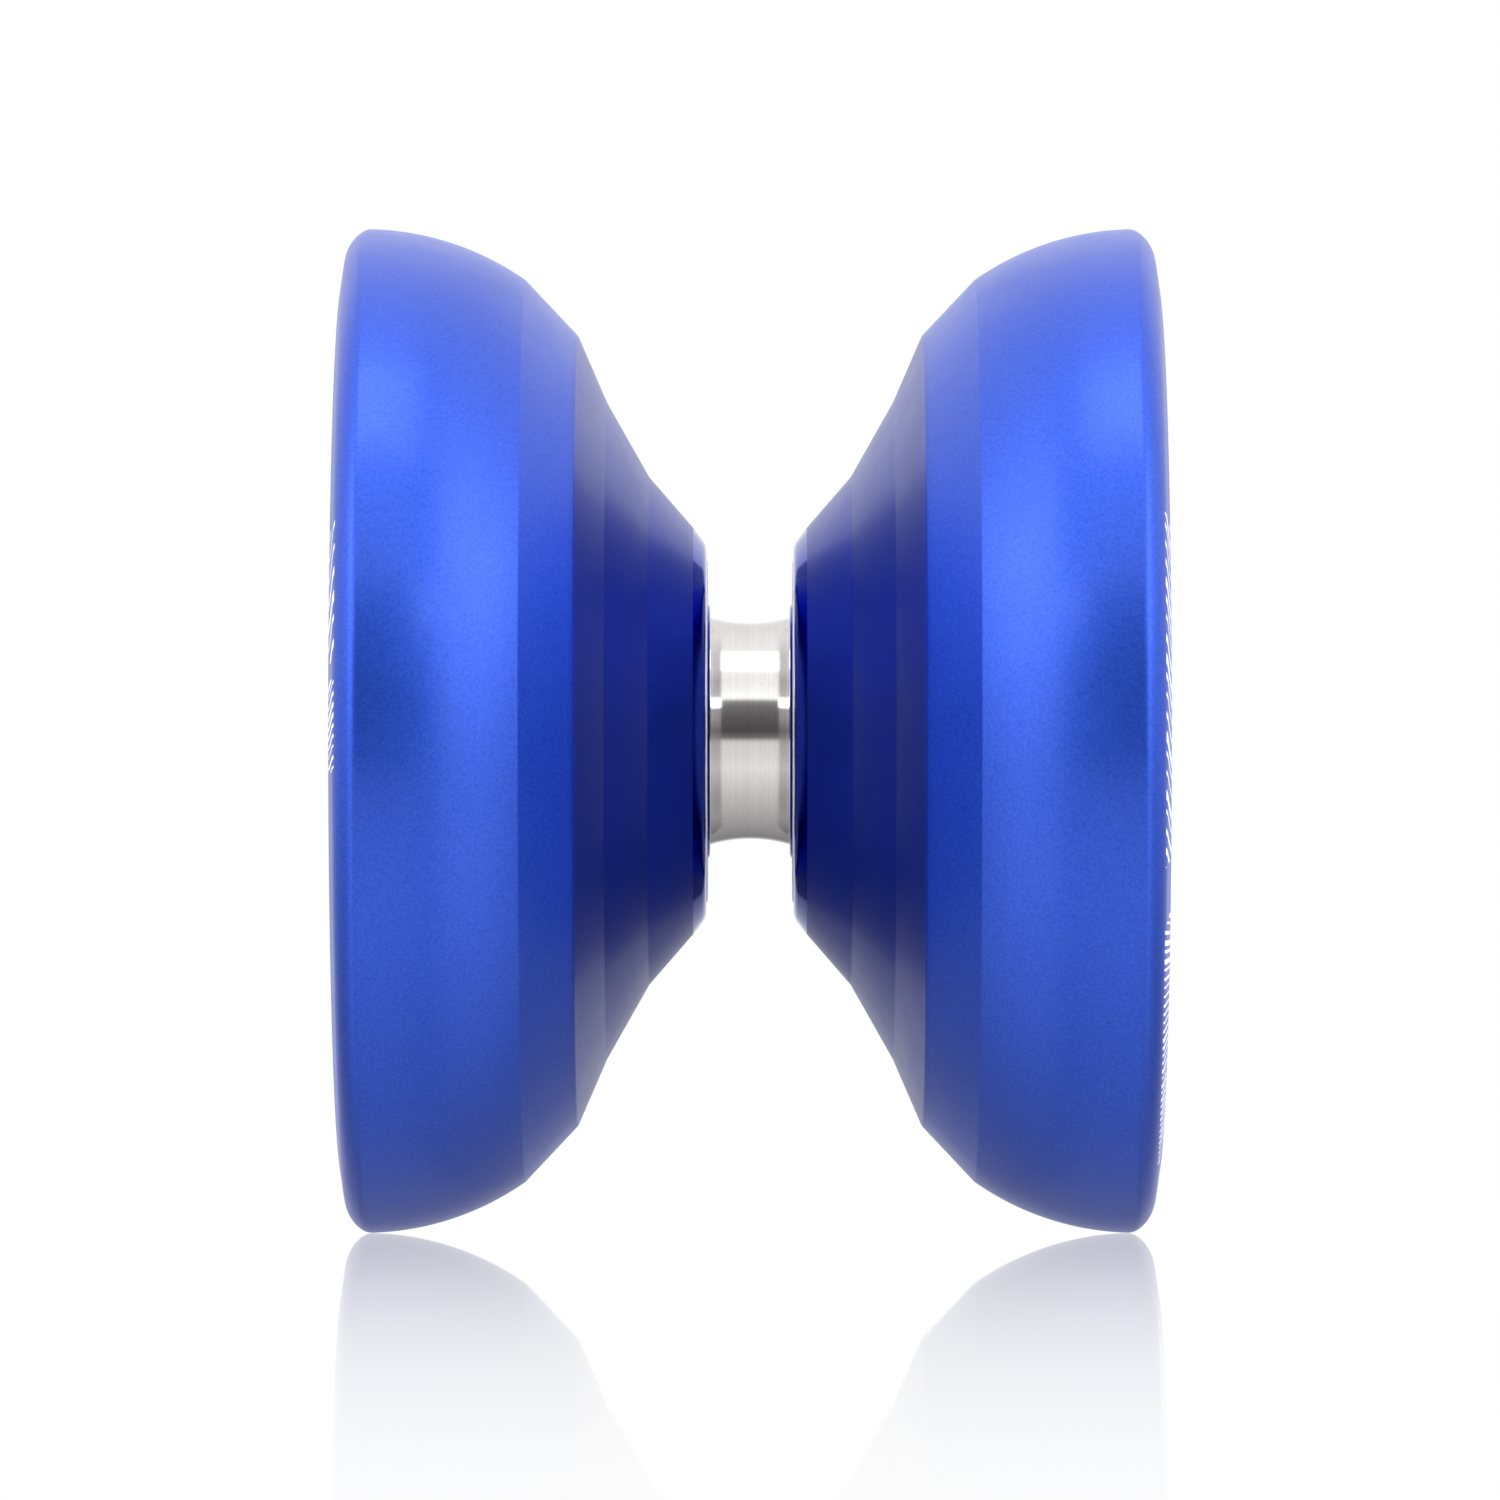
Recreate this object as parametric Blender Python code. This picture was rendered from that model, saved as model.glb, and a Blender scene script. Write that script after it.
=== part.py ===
"""An unresponsive metal yo-yo, built as it comes apart on a bench.

Two turned aluminium halves screw onto one threaded axle and clamp the inner race of a ball bearing
between them. The string runs on the bearing's concave outer race. A silicone response pad sits in
a groove in each half.

Run it with: blender --background --python part.py
Units are metres, +Z is up. X runs along the axle, and the origin is the middle of the bearing.
"""

import math

import bmesh
import bpy
from mathutils import Matrix

MM = 0.001

# Driving dimensions, in millimetres. Outlines are (x, r): x from the middle plane, r from the axle.
DIAMETER = 56.0
HALF_WIDTH = 22.72
RIM_ARC_RADIUS = 15.62
RIM_ARC_CENTRE_X = 21.5
RIM_ARC_SPREAD = 35.1  # degrees from straight out, at the crease where the catch zone starts
RIM_CREASE_X = 21.3  # where the big curve ends, at the full diameter, and the rim's edge starts
RIM_EDGE_RADIUS = 2.06
RIM_EDGE_START = 66.0  # degrees from the +x direction, just outside the crease
RIM_EDGE_END = 14.0
RIM_LAND_OUTER_RADIUS = 24.9
RIM_LAND_INNER_RADIUS = 23.7

BEARING_BORE_RADIUS = 3.175
BEARING_OUTER_RADIUS = 6.35
BEARING_WIDTH = 4.763
BALL_RADIUS = 0.79375
BALL_COUNT = 8
PITCH_RADIUS = (BEARING_BORE_RADIUS + BEARING_OUTER_RADIUS) / 2
RACEWAY_RADIUS = BALL_RADIUS + 0.055
INNER_LAND_RADIUS = 4.15
OUTER_LAND_RADIUS = 5.3
STRING_GROOVE_DEPTH = 0.34
STRING_GROOVE_HALF_WIDTH = 2.25

PAD_INNER_RADIUS = 7.15
PAD_OUTER_RADIUS = 9.58
PAD_FACE_X = 2.36
PAD_GROOVE_DEPTH_X = 3.55
PAD_CLEARANCE = 0.04

SEAT_LIP_X = 2.217
WALL_X = 2.434
POST_TIP_X = 0.4
POST_RADIUS = BEARING_BORE_RADIUS - 0.02
SHOULDER_X = BEARING_WIDTH / 2 + 0.02
SHOULDER_RADIUS = 4.05

AXLE_LENGTH = 12.0
THREAD_PITCH = 0.7
THREAD_CREST_RADIUS = 1.95
THREAD_ROOT_RADIUS = 1.57
THREAD_CLEARANCE = 0.1
THREAD_SEGMENTS = 16
BLANK_SEGMENTS = 21  # shares no factor with THREAD_SEGMENTS, so no blank edge runs along a thread edge
TAPPED_DEPTH_X = 6.7
HEX_SOCKET_ACROSS_FLATS = 2.0
HEX_SOCKET_DEPTH = 2.2

HALF_SEGMENTS = 40
RING_SEGMENTS = 32

BLUE_ANODISED = ("blue_anodised_aluminium", (0.02, 0.06, 0.55, 1), 0.35, 1.0)
BEARING_STEEL = ("bearing_steel", (0.72, 0.71, 0.70, 1), 0.22, 1.0)
RETAINER_STEEL = ("retainer_steel", (0.66, 0.62, 0.52, 1), 0.3, 1.0)
AXLE_STEEL = ("axle_steel", (0.42, 0.43, 0.45, 1), 0.3, 1.0)
WHITE_SILICONE = ("white_silicone", (0.88, 0.87, 0.84, 1), 0.7, 0.0)


def clear_scene():
    for obj in list(bpy.data.objects):
        bpy.data.objects.remove(obj)


def material(name, colour, roughness, metallic):
    """The Principled material of this name, made the first time it is asked for."""
    made = bpy.data.materials.get(name)
    if made is None:
        made = bpy.data.materials.new(name)
        made.use_nodes = True
        shader = made.node_tree.nodes["Principled BSDF"]
        shader.inputs["Base Color"].default_value = colour
        shader.inputs["Roughness"].default_value = roughness
        shader.inputs["Metallic"].default_value = metallic
    return made


def add_object(name, mesh, finish=None):
    """A smooth-shaded object for this bmesh. One with no finish is a cutter, which isn't a piece."""
    data = bpy.data.meshes.new(name)
    bmesh.ops.recalc_face_normals(mesh, faces=mesh.faces[:])
    mesh.to_mesh(data)
    mesh.free()
    obj = bpy.data.objects.new(name, data)
    bpy.context.scene.collection.objects.link(obj)
    if finish is None:
        obj.hide_render = True
        obj.display_type = "WIRE"
    else:
        data.shade_smooth()
        data.set_sharp_from_angle(angle=math.radians(25))
        data.materials.append(material(*finish))
    return obj


def boolean(obj, cutter, operation="DIFFERENCE"):
    modifier = obj.modifiers.new(operation.lower(), "BOOLEAN")
    modifier.object = cutter
    modifier.operation = operation
    modifier.solver = "EXACT"


def on_circle(x, radius, angle):
    """The point at this angle about the axle, counted from straight up, in metres."""
    return (x * MM, -radius * math.sin(angle) * MM, radius * math.cos(angle) * MM)


def arc(centre, radius, start, end, steps):
    """Points on an arc in the (x, r) plane, its angles in degrees from the +x direction."""
    points = []
    for step in range(steps + 1):
        angle = math.radians(start + (end - start) * step / steps)
        points.append((centre[0] + radius * math.cos(angle), centre[1] + radius * math.sin(angle)))
    return points


def fillet(before, corner, after, radius, steps):
    """Points on the arc that rounds this corner and meets both its edges without a kink."""
    to_before = (before[0] - corner[0], before[1] - corner[1])
    to_after = (after[0] - corner[0], after[1] - corner[1])
    length_before, length_after = math.hypot(*to_before), math.hypot(*to_after)
    a = (to_before[0] / length_before, to_before[1] / length_before)
    b = (to_after[0] / length_after, to_after[1] / length_after)
    half_angle = math.acos(max(-1, min(1, a[0] * b[0] + a[1] * b[1]))) / 2
    bisector = (a[0] + b[0], a[1] + b[1])
    scale = radius / math.sin(half_angle) / math.hypot(*bisector)
    centre = (corner[0] + bisector[0] * scale, corner[1] + bisector[1] * scale)
    tangent = radius / math.tan(half_angle)
    start = math.atan2(corner[1] + a[1] * tangent - centre[1], corner[0] + a[0] * tangent - centre[0])
    end = math.atan2(corner[1] + b[1] * tangent - centre[1], corner[0] + b[0] * tangent - centre[0])
    turn = (end - start + math.pi) % (2 * math.pi) - math.pi
    return arc(centre, radius, math.degrees(start), math.degrees(start + turn), steps)


def rounded(corners):
    """An outline's points. A corner is (x, r) where it is sharp, or (x, r, fillet radius, steps)."""
    points = []
    for index, corner in enumerate(corners):
        if len(corner) == 2:
            points.append(corner)
        else:
            before, after = corners[index - 1], corners[(index + 1) % len(corners)]
            points += fillet(before[:2], corner[:2], after[:2], *corner[2:])
    return points


def turned(name, outline, segments, finish=None):
    """A closed outline turned round the axle. Its first and last points may lie on the axle. The
    middle of each flat is at the outline's radius, and one flat faces straight down."""
    mesh = bmesh.new()
    on_axle = outline[0][1] == 0
    half_step = math.pi / segments
    angles = [half_step * (2 * step + 1) for step in range(segments)]
    rings = []
    for x, radius in outline:
        if radius == 0:
            rings.append([mesh.verts.new(on_circle(x, 0, 0))] * segments)
        else:
            corner_radius = radius / math.cos(half_step)
            rings.append([mesh.verts.new(on_circle(x, corner_radius, angle)) for angle in angles])
    pairs = list(zip(rings, rings[1:]))
    if not on_axle:
        pairs.append((rings[-1], rings[0]))
    for low, high in pairs:
        for step in range(segments):
            after = (step + 1) % segments
            corners = [low[step], low[after], high[after], high[step]]
            mesh.faces.new(list(dict.fromkeys(corners)))
    return add_object(name, mesh, finish)


# The two halves


def rim_outline():
    """The rim's big outer curve, the crease at its widest, and the round edge that leans out to the
    flat land."""
    across = RIM_ARC_CENTRE_X - RIM_CREASE_X
    centre = (RIM_ARC_CENTRE_X, DIAMETER / 2 - math.sqrt(RIM_ARC_RADIUS**2 - across**2))
    meets = math.degrees(math.asin(across / RIM_ARC_RADIUS))
    big_curve = arc(centre, RIM_ARC_RADIUS, 90 + RIM_ARC_SPREAD, 90 + meets, 6)
    turn = math.radians(RIM_EDGE_START)
    edge_centre = (
        RIM_CREASE_X - RIM_EDGE_RADIUS * math.cos(turn),
        DIAMETER / 2 - RIM_EDGE_RADIUS * math.sin(turn),
    )
    edge = arc(edge_centre, RIM_EDGE_RADIUS, RIM_EDGE_START, RIM_EDGE_END, 3)
    return big_curve[:-1] + edge + [(HALF_WIDTH, RIM_LAND_OUTER_RADIUS)]


def half_outline():
    """One half, from its hub tip in the gap, out over the catch zone and rim, and back in the cup."""
    pocket_radius = BEARING_OUTER_RADIUS + 0.08
    pocket_floor_x = SHOULDER_X + 0.22
    groove_inner, groove_outer = PAD_INNER_RADIUS - PAD_CLEARANCE, PAD_OUTER_RADIUS + PAD_CLEARANCE
    hub = [
        (POST_TIP_X, 0),
        (POST_TIP_X, POST_RADIUS - 0.15),
        (POST_TIP_X + 0.15, POST_RADIUS),
        (SHOULDER_X, POST_RADIUS),
        (SHOULDER_X, SHOULDER_RADIUS),
        (pocket_floor_x, SHOULDER_RADIUS + 0.05),
        (pocket_floor_x, pocket_radius),
        (SEAT_LIP_X, pocket_radius),
        (SEAT_LIP_X, 6.86),
        (SEAT_LIP_X + 0.16, groove_inner),
        (PAD_GROOVE_DEPTH_X, groove_inner),
        (PAD_GROOVE_DEPTH_X, groove_outer),
        (WALL_X, groove_outer),
    ]
    catch_zone = [
        (WALL_X, 10.37, 0.9, 1),
        (3.155, 11.33),
        (5.62, 14.17),
        (7.97, 18.32),
        (9.58, 22.04),
    ]
    cup = [
        (HALF_WIDTH, RIM_LAND_INNER_RADIUS),
        (HALF_WIDTH - 0.42, 23.3),
        (14.9, 23.2, 1.2, 1),
        (11.1, 20.2, 3.0, 1),
        (7.3, 13.2, 3.0, 1),
        (6.1, 10.4, 1.5, 1),
        (6.1, 5.6, 0.8, 1),
        (9.0, 5.0, 0.5, 1),
        (9.0, 3.4),
        (8.5, 0),
    ]
    return rounded(hub + catch_zone + rim_outline() + cup)


def threaded_rod(name, start, end, grow, finish=None):
    """A right-handed thread along the axle with a crest straight up at x = 0. It is longer than
    start to end, with ragged ends, and is always trimmed or used as a cutter inside that."""
    crest, root = THREAD_CREST_RADIUS + grow, THREAD_ROOT_RADIUS + grow
    profile = ((-0.05, crest), (0.05, crest), (0.35, root))
    first, last = math.floor(start / THREAD_PITCH) - 2, math.ceil(end / THREAD_PITCH) + 2
    mesh = bmesh.new()
    rows = []
    for turn in range(first, last + 1):
        for offset, radius in profile:
            row = []
            for step in range(THREAD_SEGMENTS):
                share = step / THREAD_SEGMENTS
                x = (turn + share) * THREAD_PITCH + offset
                row.append(mesh.verts.new(on_circle(x, radius, 2 * math.pi * share)))
            rows.append(row)
    per_turn = len(profile)
    # One turn on, each row starts where the row of the turn before it ends.
    helices = [low + [high[0]] for low, high in zip(rows, rows[per_turn:])]
    for low, high in zip(helices, helices[1:]):
        for step in range(THREAD_SEGMENTS):
            mesh.faces.new((low[step], low[step + 1], high[step + 1], high[step]))
    for helix, steps_at in ((helices[0], 0), (helices[-1], len(helices) - 1)):
        loop = helix[:-1] + [rows[row][0] for row in range(steps_at + per_turn, steps_at, -1)]
        centre = mesh.verts.new((helix[0].co.x, 0, 0))
        for one, two in zip(loop, loop[1:] + loop[:1]):
            mesh.faces.new((centre, one, two))
    return add_object(name, mesh, finish)


def tapped_hole_cutters():
    """The tapped hole of the half on +X: its thread, and the lead-in at its mouth."""
    cutter = threaded_rod("tapped_hole_thread", POST_TIP_X, TAPPED_DEPTH_X, THREAD_CLEARANCE)
    reach = THREAD_CREST_RADIUS + THREAD_CLEARANCE + 1
    blank = [
        (POST_TIP_X - 1, 0),
        (POST_TIP_X - 1, reach),
        (TAPPED_DEPTH_X, reach),
        (TAPPED_DEPTH_X, THREAD_ROOT_RADIUS),
        (TAPPED_DEPTH_X + 0.7, 0),
    ]
    boolean(cutter, turned("tapped_hole_length", blank, BLANK_SEGMENTS), "INTERSECT")
    mouth = [
        (POST_TIP_X - 0.5, 0),
        (POST_TIP_X - 0.5, THREAD_CREST_RADIUS + 0.9),
        (POST_TIP_X + 0.7, THREAD_ROOT_RADIUS - 0.1),
        (POST_TIP_X + 0.7, 0),
    ]
    return cutter, turned("tapped_hole_mouth", mouth, RING_SEGMENTS)


def applied(obj):
    """Gives the object its evaluated mesh and drops the modifiers, so that a copy is cut as well."""
    graph = bpy.context.evaluated_depsgraph_get()
    mesh = bpy.data.meshes.new_from_object(obj.evaluated_get(graph))
    obj.modifiers.clear()
    obj.data = mesh


def make_halves():
    """Two identical halves. The left one is the right one turned half a turn about Z, which keeps
    its thread right-handed and in step with the axle."""
    right = turned("right_half", half_outline(), HALF_SEGMENTS, BLUE_ANODISED)
    for cutter in tapped_hole_cutters():
        boolean(right, cutter)
    applied(right)
    left = bpy.data.objects.new("left_half", right.data)
    bpy.context.scene.collection.objects.link(left)
    left.rotation_euler.z = math.pi


def make_pads():
    edge = 0.12
    outline = [
        (PAD_FACE_X, PAD_INNER_RADIUS + edge),
        (PAD_FACE_X + edge, PAD_INNER_RADIUS),
        (PAD_GROOVE_DEPTH_X - PAD_CLEARANCE, PAD_INNER_RADIUS),
        (PAD_GROOVE_DEPTH_X - PAD_CLEARANCE, PAD_OUTER_RADIUS),
        (PAD_FACE_X + edge, PAD_OUTER_RADIUS),
        (PAD_FACE_X, PAD_OUTER_RADIUS - edge),
    ]
    turned("right_response_pad", outline, HALF_SEGMENTS, WHITE_SILICONE)
    left = [(-x, radius) for x, radius in outline]
    turned("left_response_pad", left, HALF_SEGMENTS, WHITE_SILICONE)


def make_axle():
    """A headless set screw, threaded from end to end, with a hexagon socket in its right end."""
    end = AXLE_LENGTH / 2
    axle = threaded_rod("axle_screw", -end, end, 0, AXLE_STEEL)
    chamfered = [
        (-end, 0),
        (-end, THREAD_ROOT_RADIUS - 0.05),
        (-end + 0.45, THREAD_CREST_RADIUS + 0.2),
        (end - 0.45, THREAD_CREST_RADIUS + 0.2),
        (end, THREAD_ROOT_RADIUS - 0.05),
        (end, 0),
    ]
    boolean(axle, turned("axle_length", chamfered, BLANK_SEGMENTS), "INTERSECT")
    socket = [
        (end + 0.5, 0),
        (end + 0.5, HEX_SOCKET_ACROSS_FLATS / 2),
        (end - HEX_SOCKET_DEPTH, HEX_SOCKET_ACROSS_FLATS / 2),
        (end - HEX_SOCKET_DEPTH - 0.4, 0),
    ]
    boolean(axle, turned("axle_socket", socket, 6))


# The ball bearing


def raceway(half_angle, start, steps=4):
    """The ball groove's arc about the pitch circle, from start minus to start plus half_angle."""
    centre = (0, PITCH_RADIUS)
    return arc(centre, RACEWAY_RADIUS, start - half_angle, start + half_angle, steps)


def make_outer_race():
    half = BEARING_WIDTH / 2
    chord = STRING_GROOVE_HALF_WIDTH
    groove_radius = (chord**2 + STRING_GROOVE_DEPTH**2) / (2 * STRING_GROOVE_DEPTH)
    spread = math.degrees(math.asin(chord / groove_radius))
    centre = (0, BEARING_OUTER_RADIUS - STRING_GROOVE_DEPTH + groove_radius)
    string_groove = arc(centre, groove_radius, 270 - spread, 270 + spread, 6)
    ball_groove = raceway(47, 90)
    side = [
        (half - 0.03, BEARING_OUTER_RADIUS),
        (half, BEARING_OUTER_RADIUS - 0.08),
        (half, 5.7),
        (2.12, 5.7),
        (2.12, 5.84),
        (1.83, 5.84),
        (1.83, 5.7),
        (1.6, 5.7),
        (1.6, OUTER_LAND_RADIUS),
    ]
    other_side = [(-x, radius) for x, radius in reversed(side)]
    outline = string_groove + side + ball_groove + other_side
    turned("bearing_outer_race", outline, RING_SEGMENTS, BEARING_STEEL)


def make_inner_race():
    half, bore, edge = BEARING_WIDTH / 2, BEARING_BORE_RADIUS, 0.12
    outline = [
        (-half + edge, bore),
        (half - edge, bore),
        (half, bore + edge),
        (half, INNER_LAND_RADIUS - 0.06),
        (half - 0.06, INNER_LAND_RADIUS),
        *reversed(raceway(40, 270)),
        (-half + 0.06, INNER_LAND_RADIUS),
        (-half, INNER_LAND_RADIUS - 0.06),
        (-half, bore + edge),
    ]
    turned("bearing_inner_race", outline, RING_SEGMENTS, BEARING_STEEL)


def ball_angles():
    return [2 * math.pi * number / BALL_COUNT for number in range(BALL_COUNT)]


def make_balls():
    for number, angle in enumerate(ball_angles(), start=1):
        mesh = bmesh.new()
        bmesh.ops.create_uvsphere(mesh, u_segments=10, v_segments=7, radius=BALL_RADIUS * MM)
        ball = add_object(f"bearing_ball_{number}", mesh, BEARING_STEEL)
        ball.location = on_circle(0, PITCH_RADIUS, angle)
        ball.rotation_euler.x = angle


def radial_pins(name, radius, x, angles):
    """Round pins that stand out from the axle at these angles, as one cutter."""
    mesh = bmesh.new()
    for angle in angles:
        place = Matrix.Rotation(angle, 4, "X") @ Matrix.Translation((x * MM, 0, PITCH_RADIUS * MM))
        bmesh.ops.create_cone(
            mesh,
            cap_ends=True,
            segments=16,
            radius1=radius * MM,
            radius2=radius * MM,
            depth=2 * MM,
            matrix=place,
        )
    return add_object(name, mesh)


def make_cage():
    """A crown retainer: a ring beside the balls with two horns round each of them."""
    back, tips = 1.16, -0.45
    outline = [(back, 4.53), (back, 4.99), (tips, 4.99), (tips, 4.53)]
    cage = turned("bearing_cage", outline, RING_SEGMENTS, RETAINER_STEEL)
    between = [angle + math.pi / BALL_COUNT for angle in ball_angles()]
    boolean(cage, radial_pins("ball_pockets", BALL_RADIUS + 0.06, 0, ball_angles()))
    boolean(cage, radial_pins("horn_reliefs", 0.72, -0.1, between))


def make_shields_and_snap_rings():
    """On each side a thin shield, and the open wire ring that clips it into the outer race."""
    shield = [(1.63, 4.28), (1.79, 4.28), (1.79, 5.66), (1.63, 5.66)]
    wire_radius, ring_radius, ring_x = 0.12, 5.69, 1.975
    gap = math.radians(14)
    steps, sides = 28, 5
    for side, sign in (("right", 1), ("left", -1)):
        outline = [(sign * x, radius) for x, radius in shield]
        turned(f"{side}_shield", outline, RING_SEGMENTS, BEARING_STEEL)
        mesh = bmesh.new()
        section = arc((sign * ring_x, ring_radius), wire_radius, 0, 360, sides)[:-1]
        rings = []
        for step in range(steps + 1):
            angle = gap + (2 * math.pi - 2 * gap) * step / steps
            rings.append([mesh.verts.new(on_circle(x, radius, angle)) for x, radius in section])
        for low, high in zip(rings, rings[1:]):
            for corner in range(sides):
                after = (corner + 1) % sides
                mesh.faces.new((low[corner], low[after], high[after], high[corner]))
        mesh.faces.new(rings[0])
        mesh.faces.new(rings[-1])
        add_object(f"{side}_snap_ring", mesh, RETAINER_STEEL)


def main():
    clear_scene()
    make_halves()
    make_pads()
    make_axle()
    make_outer_race()
    make_inner_race()
    make_balls()
    make_cage()
    make_shields_and_snap_rings()


main()
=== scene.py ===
"""Looks of an unresponsive metal yo-yo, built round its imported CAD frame.

Every visible piece is turned again here at a fine resolution and takes the place of its faceted CAD
node. Outlines are (x, r) in millimetres: x from the middle of the bearing along the axle, and r from
the axle's axis. Positions and main sizes come from the frame's boxes.
"""

import math

import bmesh
import bpy
import numpy as np
from mathutils import Matrix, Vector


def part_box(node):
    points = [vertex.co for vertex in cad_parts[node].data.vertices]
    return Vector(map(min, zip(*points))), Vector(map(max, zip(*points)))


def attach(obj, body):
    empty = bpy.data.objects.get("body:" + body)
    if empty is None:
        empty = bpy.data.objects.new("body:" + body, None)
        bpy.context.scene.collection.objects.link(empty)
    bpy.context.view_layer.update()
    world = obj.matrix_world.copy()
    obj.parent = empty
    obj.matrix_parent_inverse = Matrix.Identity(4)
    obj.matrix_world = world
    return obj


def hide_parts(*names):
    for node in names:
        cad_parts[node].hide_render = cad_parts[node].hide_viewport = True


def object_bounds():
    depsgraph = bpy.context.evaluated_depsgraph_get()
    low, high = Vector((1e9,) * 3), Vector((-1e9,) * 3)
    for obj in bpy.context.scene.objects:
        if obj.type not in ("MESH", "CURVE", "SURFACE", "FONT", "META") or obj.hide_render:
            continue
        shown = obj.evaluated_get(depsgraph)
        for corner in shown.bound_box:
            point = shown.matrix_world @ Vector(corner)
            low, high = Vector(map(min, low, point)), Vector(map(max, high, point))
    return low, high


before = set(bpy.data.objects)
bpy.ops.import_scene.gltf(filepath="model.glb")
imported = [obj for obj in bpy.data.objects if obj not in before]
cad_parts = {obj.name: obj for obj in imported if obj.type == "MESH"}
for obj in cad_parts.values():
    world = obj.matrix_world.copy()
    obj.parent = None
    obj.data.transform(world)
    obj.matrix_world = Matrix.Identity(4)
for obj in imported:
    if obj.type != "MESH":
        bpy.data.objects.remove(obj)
cad_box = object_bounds()

MM = 0.001


def reach(node, corner, axis):
    """How far a CAD node reaches, in millimetres: corner 0 is its low end and 1 its high end."""
    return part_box(node)[corner][axis] / MM


X, Z, LOW, HIGH = 0, 2, 0, 1

# Sizes that the CAD frame gives. The rims stay a hair inside its box.
HAIR = 0.001
RIM_RADIUS = reach("right_half", HIGH, Z)
HALF_WIDTH = reach("right_half", HIGH, X) - HAIR
POST_TIP_X = reach("right_half", LOW, X)
PAD_FACE_X = reach("right_response_pad", LOW, X)
PAD_BACK_X = reach("right_response_pad", HIGH, X)
PAD_OUTER_RADIUS = reach("right_response_pad", HIGH, Z)
RACE_RADIUS = reach("bearing_outer_race", HIGH, Z)
RACE_HALF_WIDTH = reach("bearing_outer_race", HIGH, X)
AXLE_END_X = reach("axle_screw", HIGH, X)
CAGE_BACK_X = reach("bearing_cage", HIGH, X)
CAGE_TIP_X = reach("bearing_cage", LOW, X)
SHIELD_INNER_X = reach("right_shield", LOW, X)
SHIELD_OUTER_X = reach("right_shield", HIGH, X)
SHIELD_RADIUS = reach("right_shield", HIGH, Z)

# Sizes of the turned halves, as in the CAD
RIM_ARC_RADIUS = 15.62
RIM_ARC_CENTRE_X = 21.5
RIM_ARC_SPREAD = 35.1
RIM_CREASE_X = 21.3
RIM_CREASE_RADIUS = 1.0
RIM_EDGE_RADIUS = 2.06
RIM_EDGE_START = 66.0
RIM_EDGE_END = 14.0
LAND_OUTER_RADIUS = 24.9
LAND_INNER_RADIUS = 23.7
SEAT_LIP_X = 2.217
WALL_X = 2.434
GLOSS_EDGE = (3.155, 11.33)
POST_RADIUS = 3.155
SHOULDER_RADIUS = 4.05
PAD_INNER_RADIUS = 7.15
PAD_GAP = 0.04
SEAT_RADIUS = RACE_RADIUS + 0.06

# The bearing's inside
BORE_RADIUS = 3.175
PITCH_RADIUS = 4.7625
BALL_RADIUS = 0.79375
BALL_COUNT = 8
RACEWAY_RADIUS = BALL_RADIUS + 0.03
INNER_LAND_RADIUS = 4.15
OUTER_LAND_RADIUS = 5.3
STRING_GROOVE_DEPTH = 0.34
STRING_GROOVE_HALF_WIDTH = 2.25
WIRE_RADIUS = 0.12
WIRE_RING_RADIUS = 5.69
WIRE_RING_X = 1.975

# The M4 thread
PITCH = 0.7
AXLE_CREST, AXLE_ROOT = 1.95, 1.57
HOLE_CREST, HOLE_ROOT = 2.04, 1.67
TAPPED_END_X = 6.7
CREST_HALF_WIDTH, FLANK_WIDTH = 0.05, 0.22
THREAD_STEP = 0.05

HALF_SEGMENTS = 240
RING_SEGMENTS = 128
AXLE_SEGMENTS = 64


# Outlines


def arc(centre, radius, start, end, steps):
    """Points on an arc in the (x, r) plane, its angles in degrees from the +x direction."""
    points = []
    for step in range(steps + 1):
        angle = math.radians(start + (end - start) * step / steps)
        points.append((centre[0] + radius * math.cos(angle), centre[1] + radius * math.sin(angle)))
    return points


def exact(points):
    """These points as they are, with no rounding between them."""
    return [(x, radius, 0) for x, radius in points]


def fillet(before, corner, after, radius, steps=4):
    """Points on the arc that rounds this corner. It takes at most 45% of the shorter edge."""
    to_before = np.subtract(before, corner)
    to_after = np.subtract(after, corner)
    lengths = np.linalg.norm(to_before), np.linalg.norm(to_after)
    a, b = to_before / lengths[0], to_after / lengths[1]
    half_angle = math.acos(np.clip(a @ b, -1, 1)) / 2
    if half_angle > math.radians(89.5):
        return [tuple(corner)]
    tangent = min(radius / math.tan(half_angle), 0.45 * min(lengths))
    radius = tangent * math.tan(half_angle)
    bisector = (a + b) / np.linalg.norm(a + b)
    centre = corner + bisector * radius / math.sin(half_angle)
    first, last = corner + a * tangent - centre, corner + b * tangent - centre
    start, end = math.atan2(first[1], first[0]), math.atan2(last[1], last[0])
    turn = (end - start + math.pi) % (2 * math.pi) - math.pi
    return arc(centre, radius, math.degrees(start), math.degrees(start + turn), steps)


def rounded(corners, edge=0.08):
    """An outline's points. Each corner is rounded by its own third number, or else by edge."""
    points = []
    for index, corner in enumerate(corners):
        radius = corner[2] if len(corner) > 2 else edge
        before, after = corners[index - 1], corners[(index + 1) % len(corners)]
        if radius == 0:
            points.append(corner[:2])
        else:
            points += fillet(before[:2], np.array(corner[:2]), after[:2], radius)
    return points


def supported(points, closed, long=0.35, inset=0.04):
    """The same outline with a point just inside both ends of each long straight run, so that
    smooth shading keeps the run flat."""
    pairs = list(zip(points, points[1:] + points[:1] if closed else points[1:]))
    out = []
    for start, end in pairs:
        out.append(start)
        length = math.dist(start, end)
        if length > long:
            for share in (inset / length, 0.5, 1 - inset / length):
                out.append(tuple(np.add(start, np.subtract(end, start) * share)))
    return out if closed else out + [points[-1]]


# Meshes


def on_circle(x, radius, angle):
    """The point at this angle about the axle, counted from straight up, in metres."""
    return (x * MM, -radius * math.sin(angle) * MM, radius * math.cos(angle) * MM)


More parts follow.
